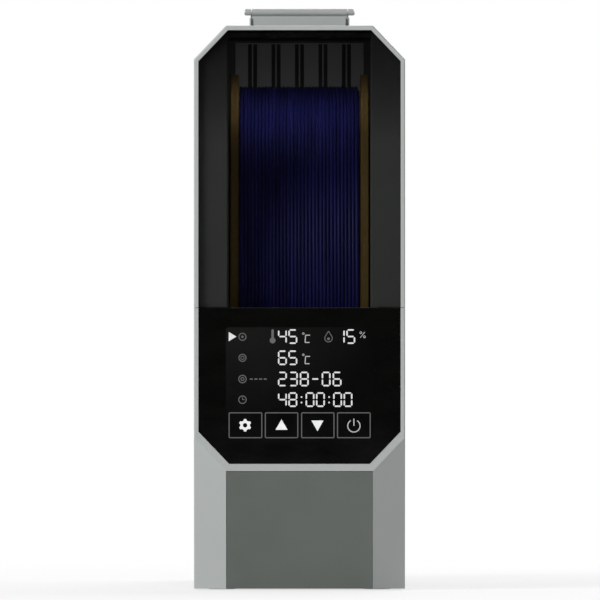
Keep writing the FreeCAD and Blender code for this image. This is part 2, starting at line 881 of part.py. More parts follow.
def fan_frame():
    s = fan_size / 2
    block = box(-s, s, fan_y, fan_y + fan_thick, fan_z - s, fan_z + s)
    block = block.cut(rod_y(fan_bore, fan_y - 1, fan_y + fan_thick + 1, 0, fan_z))
    shapes = [block, rod_y(fan_hub, fan_y + fan_thick - 2.5, fan_y + fan_thick, 0, fan_z)]
    shapes.append(rod_y(fan_shaft, fan_y + 3, fan_y + fan_thick - 1, 0, fan_z))
    for deg in (45, 135, 225, 315):
        strut = box(fan_hub - 2, fan_bore + 3, fan_y + fan_thick - 2.5, fan_y + fan_thick, -1.5, 1.5)
        strut.rotate(vec(0, 0, 0), vec(0, 1, 0), deg)
        strut.translate(vec(0, 0, fan_z))
        shapes.append(strut)
    body = joined(shapes)
    holes = []
    for x, z in fan_screw_spots():
        holes.append(rod_y(screw_radius + screw_loose, fan_y - 1, fan_y + fan_thick + 1, x, z))
    return without(body, holes)


def fan_screw_spots():
    r = fan_size / 2 - 4.2
    return [(sx * r, fan_z + sz * r) for sx in (-1, 1) for sz in (-1, 1)]


def fan_screws():
    shapes = []
    for x, z in fan_screw_spots():
        head = rod_y(2.4, fan_y + fan_thick, fan_y + fan_thick + 1.4, x, z)
        shapes.append(head.fuse(rod_y(screw_radius, heater_y + 3.0, fan_y + fan_thick, x, z)))
    return Part.makeCompound(shapes)


def fan_rotor():
    y0 = fan_y + 1.0
    y1 = fan_y + fan_thick - 3.2
    hub = rod_y(fan_hub, y0, y1, 0, fan_z)
    shapes = [hub]
    span = fan_bore - 0.9
    for i in range(fan_blades):
        low = y0 + 0.8
        high = y1 - 0.8
        blade = face([vec(-5, low, 0), vec(-3.4, low, 0), vec(5, high, 0), vec(3.4, high, 0)])
        blade = blade.extrude(vec(0, 0, span - 2))
        blade.rotate(vec(0, 0, 0), vec(0, 1, 0), i * 360.0 / fan_blades)
        blade.translate(vec(0, 0, fan_z))
        shapes.append(blade)
    body = joined(shapes).common(rod_y(span, y0, y1, 0, fan_z))
    return body.cut(rod_y(fan_shaft + running_gap, y0 + 1.5, y1 + 1, 0, fan_z))


def heater_frame():
    s = fan_size / 2
    h = heater_size / 2 - 4
    block = box(-s, s, heater_y, heater_y + heater_thick, fan_z - s, fan_z + s)
    block = block.cut(box(-h, h, heater_y - 1, heater_y + heater_thick + 1, fan_z - h, fan_z + h))
    holes = []
    for x, z in fan_screw_spots():
        holes.append(rod_y(screw_radius, heater_y + 2, heater_y + heater_thick + 1, x, z))
    return without(block, holes)


def heater_fins():
    h = heater_size / 2 - 4 - bond_gap
    y0 = heater_y + 1.5
    y1 = heater_y + heater_thick - 1.5
    block = box(-h, h, y0, y1, fan_z - h, fan_z + h)
    rows = 4
    row_pitch = 2 * h / rows
    columns = 19
    pitch = 2 * h / columns
    slots = []
    for r in range(rows):
        for c in range(columns):
            x = -h + c * pitch
            z = fan_z - h + r * row_pitch
            slots.append(box(x + 0.4, x + pitch - 0.4, y0 - 1, y1 + 1, z + 2.2, z + row_pitch - 2.2))
    return without(block, slots)


def thermal_cutout():
    top = fan_z + fan_size / 2
    can = box(12, 26, heater_y + 3, heater_y + 11, top, top + 6)
    return can.makeFillet(1.0, [e for e in can.Edges if e.BoundBox.YLength > 7])


def sensor_board():
    board = box(16, 32, tub_back, tub_back + board_thick, 186, 208)
    cap = rod_y(3.4, tub_back - 0.9, tub_back, 24, 196)
    return Part.makeCompound([board, cap])


def inlet_socket():
    y1 = cover_y
    flange = box(inlet_x - 16, inlet_x + 16, y1, y1 + 1.6, inlet_z - 12, inlet_z + 12)
    flange = flange.makeFillet(2.0, [e for e in flange.Edges if e.BoundBox.YLength > 1.5])
    wide = inlet_half
    tall = inlet_rise
    body = box(inlet_x - wide, inlet_x + wide, y1 - 20, y1 + 0.5, inlet_z - tall, inlet_z + tall)
    cut = 4.5
    x0 = inlet_x - 12
    x1 = inlet_x + 12
    z0 = inlet_z - 8.2
    z1 = inlet_z + 8.2
    ring = [(x0, z0), (x1, z0), (x1, z1 - cut), (x1 - cut, z1), (x0 + cut, z1), (x0, z1 - cut)]
    well = prism_y(ring, y1 - 14.5, y1 + 3)
    return without(joined([flange, body]), [well] + blade_boxes(y1 - 22, y1 - 14))


def inlet_blades():
    return [(inlet_x - 7, inlet_z - 2), (inlet_x + 7, inlet_z - 2), (inlet_x, inlet_z + 2)]


def blade_boxes(y0, y1):
    w = blade_half
    h = blade_rise
    return [box(x - w, x + w, y0, y1, z - h, z + h) for x, z in inlet_blades()]


def inlet_pins():
    y1 = cover_y
    return Part.makeCompound(blade_boxes(y1 - 26, y1 - 3))


def switch_housing():
    y1 = cover_y
    flange = box(switch_x - 11.5, switch_x + 11.5, y1, y1 + 1.4, switch_z - 8.5, switch_z + 8.5)
    flange = flange.makeFillet(1.2, [e for e in flange.Edges if e.BoundBox.YLength > 1.3])
    wide = switch_half
    tall = switch_rise
    body = box(switch_x - wide, switch_x + wide, y1 - 15, y1 + 0.5, switch_z - tall, switch_z + tall)
    wide = switch_well
    tall = switch_well_rise
    well = box(switch_x - wide, switch_x + wide, y1 - 9, y1 + 3, switch_z - tall, switch_z + tall)
    shaft = rod_z(rocker_shaft, switch_z - 6.0, switch_z + 6.0, switch_x, switch_axis_y())
    return joined([joined([flange, body]).cut(well), shaft])


def switch_axis_y():
    return cover_y - 3.0


def switch_rocker():
    y = switch_axis_y()
    top = cover_y + 1.6
    wide = switch_well - 0.8
    tall = switch_well_rise - 0.3
    plan = [(-wide, top), (0, top - 1.0), (wide, top), (wide - 1.2, y - 2.2), (1.2 - wide, y - 2.2)]
    paddle = prism_z([(x + switch_x, v) for x, v in plan], switch_z - tall, switch_z + tall)
    paddle = paddle.cut(rod_z(rocker_shaft + running_gap, switch_z - 9, switch_z + 9, switch_x, y))
    paddle.rotate(vec(switch_x, y, 0), vec(0, 0, 1), -rocker_tilt)
    return paddle


# Round lead along straight runs joined by arcs of one bend radius
def lead(points, radius, bend):
    edges = []
    at = points[0]
    for i in range(1, len(points) - 1):
        a = (points[i - 1] - points[i]).normalize()
        b = (points[i + 1] - points[i]).normalize()
        turn = math.acos(max(-1.0, min(1.0, a.dot(b))))
        back = bend / math.tan(turn / 2)
        start = points[i] + a * back
        stop = points[i] + b * back
        out = (a + b).normalize()
        middle = points[i] + out * (bend / math.sin(turn / 2) - bend)
        edges.append(Part.makeLine(at, start))
        edges.append(Part.Arc(start, middle, stop).toShape())
        at = stop
    edges.append(Part.makeLine(at, points[-1]))
    ring = Part.Wire(Part.makeCircle(radius, points[0], points[1] - points[0]))
    return Part.Wire(edges).makePipeShell([ring], True, False)


def mains_leads():
    z = power_z() + board_thick
    shapes = []
    for i, (x, pin_z) in enumerate(inlet_blades()[:2]):
        y0 = cover_y - 26 - fit_gap
        drop = z + 2.0 + 3.4 * i
        end = 8.0 - 16 * i
        run = [vec(x, y0, pin_z), vec(x, y0 - 12 - 6 * i, pin_z)]
        run = run + [vec(x, y0 - 12 - 6 * i, drop), vec(end, y0 - 34, drop), vec(end, block_face(), drop)]
        shapes.append(lead(run, 1.1, 3.0))
    return Part.makeCompound(shapes)


def display_lead():
    y = glass_back + bond_gap + lcd_thick + board_thick
    z = power_z() + board_thick + 3.5
    start = vec(22, y + 1.3, 77.8)
    low = hollow_front(0, tub_floor - 3.5) + 2.4
    run = [start, vec(22, y + 1.3, rim_low), vec(22, low, tub_floor - 3.5), vec(22, low + 26, 24)]
    run = run + [vec(4, board_front - 22, z), vec(4, board_front + 3 - fit_gap, z)]
    return lead(run, 1.0, 4.0)


def fan_lead():
    z = power_z() + board_thick + 8.0
    s = fan_size / 2
    start = vec(-30, fan_y + 6, fan_z - s - fit_gap)
    run = [start, vec(-30, fan_y + 6, z), vec(-30, board_rear + 16, z)]
    run = run + [vec(-14, board_rear + 3, z), vec(-14, block_face(), z)]
    return lead(run, 0.9, 4.0)


def heater_leads():
    z = power_z() + board_thick + 8.8
    shapes = []
    for i in (0, 1):
        x = 33.5 + 4 * i
        start = vec(x, heater_y + 7, fan_z - fan_size / 2 - fit_gap)
        end = 12 + 4 * i
        run = [start, vec(x, heater_y + 7, z), vec(x, board_rear + 16, z)]
        run = run + [vec(end, board_rear + 3, z), vec(end, block_face(), z)]
        shapes.append(lead(run, 1.0, 4.0))
    return Part.makeCompound(shapes)


def front_seal():
    z = seam_z - flange_drop
    y0 = front_seal_y()
    return box(-inner_half + 1.5, inner_half - 1.5, y0, y0 + seal_deep, z, seam_z - 0.05)


nodes = {
    "base_shell": base_shell,
    "lower_panel": lower_panel,
    "display_glass": display_glass,
    "lcd_module": lcd_module,
    "control_board": control_board,
    "control_parts": control_parts,
    "chamber_tub": tub,
    "rear_grille": rear_grille,
    "roller_bushes": roller_bushes,
    "front_roller_shaft": lambda: roller_shaft(roller_ys()[0]),
    "front_roller_tyres": lambda: roller_tyres(roller_ys()[0]),
    "rear_roller_shaft": lambda: roller_shaft(roller_ys()[1]),
    "rear_roller_tyres": lambda: roller_tyres(roller_ys()[1]),
    "spool_flange_left": lambda: spool_flange(-1),
    "spool_flange_right": lambda: spool_flange(1),
    "spool_core": spool_core,
    "filament_core": filament_core,
    "filament_winding": filament_winding,
    "lid_shell": lid_shell,
    "lid_window": window,
    "lid_liner": lid_liner,
    "lid_seal": lid_seal,
    "lid_magnets": lid_magnets,
    "base_magnets": base_magnets,
    "front_seal": front_seal,
    "lid_hinge_leaf": lid_hinge_leaf,
    "lid_hinge_screws": lid_hinge_screws,
    "base_hinge_leaf": base_hinge_leaf,
    "base_hinge_screws": base_hinge_screws,
    "hinge_pin": hinge_pin,
    "outlet_grommets": outlet_grommets,
    "rear_cover": rear_cover,
    "rear_cover_screws": rear_cover_screws,
    "bottom_cover": bottom_cover,
    "bottom_cover_screws": bottom_cover_screws,
    "rubber_feet": rubber_feet,
    "power_board": power_board,
    "power_parts": power_parts,
    "fan_frame": fan_frame,
    "fan_rotor": fan_rotor,
    "fan_screws": fan_screws,
    "heater_frame": heater_frame,
    "heater_fins": heater_fins,
    "thermal_cutout": thermal_cutout,
    "sensor_board": sensor_board,
    "inlet_socket": inlet_socket,
    "inlet_pins": inlet_pins,
    "switch_housing": switch_housing,
    "switch_rocker": switch_rocker,
    "mains_leads": mains_leads,
    "display_lead": display_lead,
    "fan_lead": fan_lead,
    "heater_leads": heater_leads,
}

os.makedirs("parts", exist_ok=True)
for name, make in nodes.items():
    shape = make()
    box_now = shape.BoundBox
    size = (box_now.XMin, box_now.XMax, box_now.YMin, box_now.YMax, box_now.ZMin, box_now.ZMax)
    print(name, len(shape.Solids), shape.isValid(), ["%.2f" % v for v in size])
    shape.exportStep("parts/%s.step" % name)
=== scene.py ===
import bpy
import bmesh
import json
import math
from mathutils import Matrix, Vector, noise


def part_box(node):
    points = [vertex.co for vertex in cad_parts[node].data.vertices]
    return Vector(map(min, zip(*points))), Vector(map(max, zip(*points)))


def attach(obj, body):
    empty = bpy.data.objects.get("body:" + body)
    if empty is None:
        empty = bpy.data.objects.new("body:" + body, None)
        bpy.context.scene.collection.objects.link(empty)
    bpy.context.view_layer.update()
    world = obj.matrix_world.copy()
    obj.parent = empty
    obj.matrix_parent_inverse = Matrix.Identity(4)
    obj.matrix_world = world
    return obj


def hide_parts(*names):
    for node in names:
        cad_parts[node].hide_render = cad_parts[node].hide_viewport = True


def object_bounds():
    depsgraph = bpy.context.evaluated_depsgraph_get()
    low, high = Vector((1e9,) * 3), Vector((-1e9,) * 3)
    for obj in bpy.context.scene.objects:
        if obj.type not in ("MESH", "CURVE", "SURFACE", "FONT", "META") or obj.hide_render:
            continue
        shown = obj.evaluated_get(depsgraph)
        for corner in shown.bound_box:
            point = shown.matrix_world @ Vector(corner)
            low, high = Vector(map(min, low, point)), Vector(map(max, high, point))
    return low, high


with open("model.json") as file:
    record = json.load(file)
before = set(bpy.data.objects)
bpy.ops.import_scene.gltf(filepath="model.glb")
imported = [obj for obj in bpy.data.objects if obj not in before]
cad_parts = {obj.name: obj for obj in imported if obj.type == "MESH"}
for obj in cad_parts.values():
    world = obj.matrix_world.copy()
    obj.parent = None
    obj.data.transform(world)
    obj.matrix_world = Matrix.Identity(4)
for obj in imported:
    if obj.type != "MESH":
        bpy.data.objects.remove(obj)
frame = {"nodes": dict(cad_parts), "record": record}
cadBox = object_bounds()
scene = bpy.context.scene
nodes = frame["nodes"]
mm = 0.001
print("frame loaded:", len(nodes), "nodes")


wear = {"samples": 4, "flat": 0.985, "bent": 0.84}  # how far the surface turns before it counts as an edge


# ready-made links between a material's nodes
class Finish:
    def __init__(self, name):
        self.material = bpy.data.materials.new(name)
        self.material.use_nodes = True
        self.tree = self.material.node_tree
        self.tree.nodes.clear()
        self.out = self.add("ShaderNodeOutputMaterial")
        self.shader = self.add("ShaderNodeBsdfPrincipled")
        self.link(self.shader, "BSDF", self.out, "Surface")
        self.place = self.add("ShaderNodeTexCoord")

    def add(self, kind):
        return self.tree.nodes.new(kind)

    def link(self, a, outName, b, inName):
        self.tree.links.new(a.outputs[outName], b.inputs[inName])

    def set(self, **values):
        for key, value in values.items():
            self.shader.inputs[key.replace("_", " ")].default_value = value

    # pattern space, stretched along the axes and turned
    def space(self, stretch=(1, 1, 1), turn=(0, 0, 0)):
        mapping = self.add("ShaderNodeMapping")
        mapping.inputs["Scale"].default_value = stretch
        mapping.inputs["Rotation"].default_value = turn
        self.link(self.place, "Object", mapping, "Vector")
        return mapping

    def noise(self, scale, detail=3.0, rough=0.55, stretch=(1, 1, 1), turn=(0, 0, 0)):
        texture = self.add("ShaderNodeTexNoise")
        texture.inputs["Scale"].default_value = scale
        texture.inputs["Detail"].default_value = detail
        texture.inputs["Roughness"].default_value = rough
        self.link(self.space(stretch, turn), "Vector", texture, "Vector")
        return texture

    def cells(self, scale):
        texture = self.add("ShaderNodeTexVoronoi")
        texture.inputs["Scale"].default_value = scale
        self.link(self.space(), "Vector", texture, "Vector")
        return texture

    # one span of values carried over to another
    def span(self, source, outName, given, taken=(0, 1)):
        node = self.add("ShaderNodeMapRange")
        for name, value in zip(("From Min", "From Max", "To Min", "To Max"), (*given, *taken)):
            node.inputs[name].default_value = value
        self.link(source, outName, node, "Value")
        return node

    def times(self, a, outA, b, outB):
        node = self.add("ShaderNodeMath")
        node.operation = "MULTIPLY"
        self.link(a, outA, node, 0)
        self.link(b, outB, node, 1)
        return node

    # colour that runs between stops along a pattern
    def colour(self, texture, outName, stops, socket="Base Color"):
        ramp = self.add("ShaderNodeValToRGB")
        while len(ramp.color_ramp.elements) < len(stops):
            ramp.color_ramp.elements.new(0.5)
        for element, (at, rgb) in zip(ramp.color_ramp.elements, stops):
            element.position = at
            element.color = (*rgb, 1)
        self.link(texture, outName, ramp, "Fac")
        self.link(ramp, "Color", self.shader, socket)
        return ramp

    # second colour laid over the first where a mask says
    def over(self, ramp, mask, outName, rgb):
        mix = self.add("ShaderNodeMix")
        mix.data_type = "RGBA"
        self.link(mask, outName, mix, "Factor")
        self.tree.links.new(ramp.outputs["Color"], mix.inputs[6])
        mix.inputs[7].default_value = (*rgb, 1)
        self.tree.links.new(mix.outputs[2], self.shader.inputs["Base Color"])

    def rough(self, texture, low, high):
        self.link(self.span(texture, "Fac", (0.3, 0.7), (low, high)), "Result", self.shader, "Roughness")

    # value that changes evenly with height
    def rise(self, heights, values, socket):
        split = self.add("ShaderNodeSeparateXYZ")
        self.link(self.place, "Object", split, "Vector")
        self.link(self.span(split, "Z", heights, values), "Result", self.shader, socket)

    # how close a point lies to an edge, broken up by a pattern
    def edges(self, reach, texture):
        bent = self.add("ShaderNodeBevel")
        bent.samples = wear["samples"]
        bent.inputs["Radius"].default_value = reach
        flat = self.add("ShaderNodeNewGeometry")
        along = self.add("ShaderNodeVectorMath")
        along.operation = "DOT_PRODUCT"
        self.link(bent, "Normal", along, 0)
        self.link(flat, "True Normal", along, 1)
        near = self.span(along, "Value", (wear["flat"], wear["bent"]))
        return self.times(near, "Result", texture, "Fac")

    def bump(self, texture, outName, depth, strength, below=None):
        node = self.add("ShaderNodeBump")
        node.inputs["Distance"].default_value = depth
        node.inputs["Strength"].default_value = strength
        self.link(texture, outName, node, "Height")
        if below:
            self.link(below, "Normal", node, "Normal")
        self.link(node, "Normal", self.shader, "Normal")
        return node


def shade(rgb, gain):
    return tuple(min(1.0, c * gain) for c in rgb)


# a colour a little darker and a little paler than itself, for a noise to run between
def drifting(rgb, down, up, low=0.3, high=0.7):
    return [(low, shade(rgb, down)), (high, shade(rgb, up))]


moulded = {"cloud": 26, "sheen": 90, "edge": 0.0006, "rubbed": 1.25}
plastics = {
    "shell_grey": {"name": "casing_satin", "rgb": (0.448, 0.470, 0.458), "rough": 0.44, "grain": 2400,
                   "depth": 0.000025, "drift": 0.018, "level": 0.35, "patchy": 0.025},
    "panel_grey": {"name": "front_panel_grey", "rgb": (0.139, 0.153, 0.142), "rough": 0.5, "grain": 1900,
                   "depth": 0.00004, "drift": 0.06, "level": 0.3},
    "hinge_grey": {"name": "hinge_satin", "rgb": (0.39424, 0.4136, 0.40304), "rough": 0.4, "grain": 2600,
                   "depth": 0.00002, "drift": 0.03, "level": 0.4, "patchy": 0.04},
    "liner_grey": {"name": "liner_grey", "rgb": (0.158, 0.168, 0.157), "rough": 0.55, "grain": 1700,
                   "depth": 0.00005, "drift": 0.06, "level": 0.3},
    "grille": {"name": "grille_pale", "rgb": (0.74, 0.75, 0.73), "rough": 0.5, "grain": 1700,
               "depth": 0.00004, "drift": 0.05, "level": 0.3},
    "black_plastic": {"name": "black_plastic", "rgb": (0.016, 0.016, 0.017), "rough": 0.42, "grain": 2200,
                      "depth": 0.00004, "drift": 0.2, "level": 0.4},
    "bush_white": {"name": "bush_ivory", "rgb": (0.60, 0.58, 0.53), "rough": 0.5, "grain": 1800,
                   "depth": 0.00003, "drift": 0.06, "level": 0.35},
}


# moulded or sprayed plastic: fine spark grain, faint cloudiness, uneven sheen, edges rubbed paler
def mouldedFinish(name, rgb, rough, grain, depth, drift, level, patchy=0.06):
    f = Finish(name)
    tone = f.colour(f.noise(moulded["cloud"], 4, 0.6), "Fac", drifting(rgb, 1 - drift, 1 + drift))
    sheen = f.noise(moulded["sheen"], 3)
    f.over(tone, f.edges(moulded["edge"], sheen), "Value", shade(rgb, moulded["rubbed"]))
    f.rough(sheen, rough - patchy, rough + patchy)
    f.bump(f.noise(grain, 2, 0.5), "Fac", depth, 0.45)
    f.set(Specular_IOR_Level=level)
    return f


metal = {"grain": 900, "edge": 0.0003, "rubbed": 1.25, "depth": 0.00002}
metals = {
    "steel": {"name": "steel_turned", "rgb": (0.56, 0.56, 0.57), "rough": 0.32, "stretch": (0.15, 1, 1)},
    "aluminium": {"name": "fin_aluminium", "rgb": (0.70, 0.71, 0.72), "rough": 0.36, "stretch": (1, 0.2, 1)},
    "brass": {"name": "blade_brass", "rgb": (0.72, 0.53, 0.24), "rough": 0.28, "stretch": (1, 0.12, 1)},
}


# metal turned or drawn along one axis, brighter where its edges are handled
def metalFinish(name, rgb, rough, stretch):
    f = Finish(name)
    drawn = f.noise(metal["grain"], 3, 0.6, stretch)
    tone = f.colour(drawn, "Fac", drifting(rgb, 0.86, 1.08, 0.25, 0.75))
    f.over(tone, f.edges(metal["edge"], drawn), "Value", shade(rgb, metal["rubbed"]))
    f.rough(drawn, rough - 0.08, rough + 0.1)
    f.bump(drawn, "Fac", metal["depth"], 0.35)
    f.set(Metallic=1.0)
    return f


rubber = {"dust": 160, "edge": 0.0004, "chalk": 2.4, "grain": 3200, "depth": 0.00004}
rubbers = {
    "rubber": {"name": "rubber_black", "rgb": (0.022, 0.022, 0.021), "rough": 0.75},
    "lead_black": {"name": "lead_jacket", "rgb": (0.018, 0.018, 0.019), "rough": 0.6},
}


# rubber, dusty in patches and chalky along its edges
def rubberFinish(name, rgb, rough):
    f = Finish(name)
    dust = f.noise(rubber["dust"], 5, 0.65)
    tone = f.colour(dust, "Fac", drifting(rgb, 0.8, 1.5, 0.35, 0.72))
    f.over(tone, f.edges(rubber["edge"], dust), "Value", shade(rgb, rubber["chalk"]))
    f.rough(dust, rough - 0.08, rough + 0.1)
    f.bump(f.noise(rubber["grain"], 2), "Fac", rubber["depth"], 0.5)
    f.set(Specular_IOR_Level=0.3)
    return f


smoked = {"tint": (0.0012, 0.0012, 0.0011), "flow": 14, "heights": (0.222, 0.272), "tintAndPaintedShadeAlpha": (0.37, 0.56),
          "rough": (0.03, 0.06), "level": 0.12}


# smoked clear plastic with faint moulding flow; its alpha rises towards the top as painted shade, which
# darkens the top of the chamber seen through it
def windowFinish():
    f = Finish("window_smoked")
    flow = f.noise(smoked["flow"], 3, 0.5, (1, 1, 0.35))
    f.colour(flow, "Fac", drifting(smoked["tint"], 0.85, 1.15))
    f.rough(f.noise(60, 2), *smoked["rough"])
    # painted shade: the window grows more opaque with height, standing in for the shade at the top of the
    # chamber behind it
    f.rise(smoked["heights"], smoked["tintAndPaintedShadeAlpha"], "Alpha")
    f.set(Specular_IOR_Level=smoked["level"])
    return f


blackGlass = {"dark": (0.0028, 0.0028, 0.0026), "pale": (0.0044, 0.0044, 0.004), "smear": 30,
              "rough": (0.03, 0.08), "level": 0.12}


# black back-painted display glass with faint smears
def displayFinish():
    f = Finish("display_glass_black")
    smear = f.noise(blackGlass["smear"], 5, 0.6, (1, 1, 2.4), (0, 0.5, 0))
    f.colour(smear, "Fac", [(0.3, blackGlass["dark"]), (0.75, blackGlass["pale"])])
    f.rough(smear, *blackGlass["rough"])
    f.set(Specular_IOR_Level=blackGlass["level"])
    return f


board = {
    "stops": [(0.25, (0.185, 0.115, 0.036)), (0.55, (0.265, 0.172, 0.058)), (0.8, (0.34, 0.245, 0.10))],
    "line": (0.115, 0.07, 0.024),
    "fibre": 700,
    "plies": 1300,
    "fibreDepth": 0.00012,
    "plyDepth": 0.0001,
}


# pressed board: fibres lying every way, and plies that show as lines round the cut edge
def boardFinish():
    f = Finish("spool_board")
    fibre = f.noise(board["fibre"], 6, 0.7, (2.2, 1, 0.5))
    tone = f.colour(fibre, "Fac", board["stops"])
    plies = f.noise(board["plies"], 1, 0.4, (1, 0.01, 0.01))
    f.over(tone, f.span(plies, "Fac", (0.56, 0.66), (0, 0.45)), "Result", board["line"])
    f.rough(f.noise(220, 3), 0.78, 0.92)
    grain = f.bump(fibre, "Fac", board["fibreDepth"], 0.6)
    f.bump(plies, "Fac", board["plyDepth"], 0.35, grain)
    f.set(Specular_IOR_Level=0.2)
    return f


strand = {
    "stops": [(0.28, (0.015, 0.017, 0.122)), (0.5, (0.026, 0.028, 0.205)), (0.75, (0.043, 0.045, 0.300))],
    "rough": (0.34, 0.48),
    "level": 0.25,
}


# satin strand, each turn a little different from the next
def strandFinish():
    f = Finish("filament_strand_blue")
    f.colour(f.noise(330, 2, 0.5, (1, 0.05, 0.05)), "Fac", strand["stops"])
    f.rough(f.noise(500, 2, 0.5, (1, 0.1, 0.1)), *strand["rough"])
    f.bump(f.noise(2000, 2), "Fac", 0.00001, 0.3)
    f.set(Specular_IOR_Level=strand["level"])
    return f


circuit = {
    "Color1": (0.010, 0.085, 0.038, 1),
    "Color2": (0.014, 0.110, 0.050, 1),
    "Mortar": (0.026, 0.17, 0.08, 1),
    "Mortar Size": 0.05,
    "Scale": 240,
}


# solder mask with copper tracks showing as raised lines
def circuitFinish():
    f = Finish("circuit_green")
    tracks = f.add("ShaderNodeTexBrick")
    for name, value in circuit.items():
        tracks.inputs[name].default_value = value
    f.link(f.space(), "Vector", tracks, "Vector")
    f.link(tracks, "Color", f.shader, "Base Color")
    f.rough(f.noise(300, 2), 0.3, 0.42)
    f.bump(tracks, "Fac", 0.00003, 0.5)
    return f


component = {"stops": [(0.2, (0.012, 0.012, 0.014)), (0.55, (0.05, 0.05, 0.055)), (0.9, (0.16, 0.14, 0.09))]}


# dark cases and cans that change colour from one to the next
def componentFinish():
    f = Finish("component_bodies")
    f.colour(f.cells(55), "Color", component["stops"])
    f.rough(f.noise(260, 3), 0.4, 0.55)
    f.bump(f.noise(1500, 2), "Fac", 0.00004, 0.4)
    return f


def allFinishes():
    made = {slot: mouldedFinish(**values) for slot, values in plastics.items()}
    made.update({slot: metalFinish(**values) for slot, values in metals.items()})
    made.update({slot: rubberFinish(**values) for slot, values in rubbers.items()})
    made["glass_black"] = displayFinish()
    made["window_tint"] = windowFinish()
    made["spool_board"] = boardFinish()
    made["filament_blue"] = strandFinish()
    made["circuit"] = circuitFinish()
    made["components"] = componentFinish()
    return made


finishes = allFinishes()
for part in frame["record"]["subparts"]:
    node = nodes[part["node"]]
    node.data.materials.clear()
    own = "grille" if part["node"] == "rear_grille" else part["material_slot"]
    node.data.materials.append(finishes[own].material)
print("finishes given:", len(finishes))


# a bmesh becomes a piece that rides on a body
def makePiece(name, bm, finish, body, smooth=False):
    bmesh.ops.remove_doubles(bm, verts=bm.verts, dist=1e-7)
    bmesh.ops.recalc_face_normals(bm, faces=bm.faces)
    mesh = bpy.data.meshes.new(name)
    bm.to_mesh(mesh)
    bm.free()
    if smooth:
        mesh.shade_smooth()
    obj = bpy.data.objects.new(name, mesh)
    scene.collection.objects.link(obj)
    mesh.materials.append(finish.material)
    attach(obj, body)
    return obj


winding = {
    "turns": 33,
    "radius": 0.09322,
    "span": 0.0588,
    "strand": 0.00087,
    "steps": 80,
    "sides": 8,
    "weld": 0.00002,
    "stray": 0.00018,
    "alongAxle": 1.9,
    "roundAxle": 1.3,
}


# one turn of the strand is spun round the axle, then repeated along it and joined end to end
def makeWinding():
    low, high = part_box("spool_flange_left")
    axle = Vector((0, (low.y + high.y) / 2, (low.z + high.z) / 2))
    pitch = winding["span"] / winding["turns"]
    start = Vector((-winding["span"] / 2, axle.y + winding["radius"], axle.z))
    bm = bmesh.new()
    ring = bmesh.ops.create_circle(bm, segments=winding["sides"], radius=winding["strand"])
    bmesh.ops.translate(bm, verts=ring["verts"], vec=start)
    bmesh.ops.spin(bm, geom=bm.edges[:], cent=axle, axis=(1, 0, 0), dvec=(pitch / winding["steps"], 0, 0),
                   angle=2 * math.pi, steps=winding["steps"])
    turn = bm.verts[:] + bm.edges[:] + bm.faces[:]
    for k in range(1, winding["turns"]):
        copy = bmesh.ops.duplicate(bm, geom=turn)
        moved = [g for g in copy["geom"] if isinstance(g, bmesh.types.BMVert)]
        bmesh.ops.translate(bm, verts=moved, vec=(pitch * k, 0, 0))
    bmesh.ops.remove_doubles(bm, verts=bm.verts, dist=winding["weld"])
    bmesh.ops.holes_fill(bm, edges=[e for e in bm.edges if e.is_boundary], sides=0)
    along, about = winding["alongAxle"], winding["roundAxle"]
    for v in bm.verts:  # the turns wander a little, as wound ones do
        spoke = Vector((0, v.co.y - axle.y, v.co.z - axle.z)).normalized()
        at = Vector((v.co.x / pitch * along, spoke.y * about, spoke.z * about))
        v.co += spoke * winding["stray"] * noise.noise(at)
    made = makePiece("filament_turns", bm, finishes["filament_blue"], "spool", True)
    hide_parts("filament_winding")


makeWinding()
print("winding made")


glass = {"front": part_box("display_glass")[0].y, "lift": 0.00002, "thick": 0.00003, "ringStep": 9}


# a flat outline on the glass, raised towards the viewer
def raisePlate(bm, faces, lift=0.0, thick=None):
    y = glass["front"] - glass["lift"] - lift
    verts = list({v for f in faces for v in f.verts})
    for v in verts:
        v.co.y = y
    made = bmesh.ops.extrude_face_region(bm, geom=faces)
    top = [g for g in made["geom"] if isinstance(g, bmesh.types.BMVert)]
    bmesh.ops.translate(bm, verts=top, vec=(0, -(thick or glass["thick"]), 0))


def addOutline(bm, points):
    verts = [bm.verts.new((x * mm, 0, z * mm)) for x, z in points]
    raisePlate(bm, [bm.faces.new(verts)])


def addDisc(bm, x, z, radius, sides, lift=0.0):
    made = bmesh.ops.create_circle(bm, cap_ends=True, segments=sides, radius=radius * mm)
    bmesh.ops.rotate(bm, verts=made["verts"], cent=(0, 0, 0), matrix=Matrix.Rotation(math.pi / 2, 3, "X"))
    bmesh.ops.translate(bm, verts=made["verts"], vec=(x * mm, 0, z * mm))
    raisePlate(bm, made["verts"][0].link_faces[:], lift)


# flat ring or part of one, spun from a short line across its stroke
def addRing(bm, x, z, radius, stroke, start=0.0, sweep=360.0):
    a = math.radians(start)
    ends = []
    for r in (radius - stroke / 2, radius + stroke / 2):
        ends.append(bm.verts.new(((x + r * math.cos(a)) * mm, 0, (z + r * math.sin(a)) * mm)))
    edge = bm.edges.new(ends)
    before = set(bm.faces)
    bmesh.ops.spin(bm, geom=[edge], cent=(x * mm, 0, z * mm), axis=(0, -1, 0), angle=math.radians(sweep),
                   steps=max(6, int(sweep / glass["ringStep"])), use_merge=sweep >= 360)
    raisePlate(bm, [f for f in bm.faces if f not in before])


# frame with rounded corners: an inset face whose middle is taken out
def addFrame(bm, x0, x1, z0, z1, stroke, corner):
    corners = [(x0, z0), (x1, z0), (x1, z1), (x0, z1)]
    face = bm.faces.new([bm.verts.new((x * mm, 0, z * mm)) for x, z in corners])
    before = set(bm.faces) - {face}
    bmesh.ops.bevel(bm, geom=face.verts[:], offset=corner * mm, segments=4, profile=0.5, affect="VERTICES",
                    material=-1)
    face = [f for f in bm.faces if f not in before][0]
    made = bmesh.ops.inset_individual(bm, faces=[face], thickness=stroke * mm, use_even_offset=True)
    bmesh.ops.delete(bm, geom=[face], context="FACES_ONLY")
    raisePlate(bm, made["faces"])


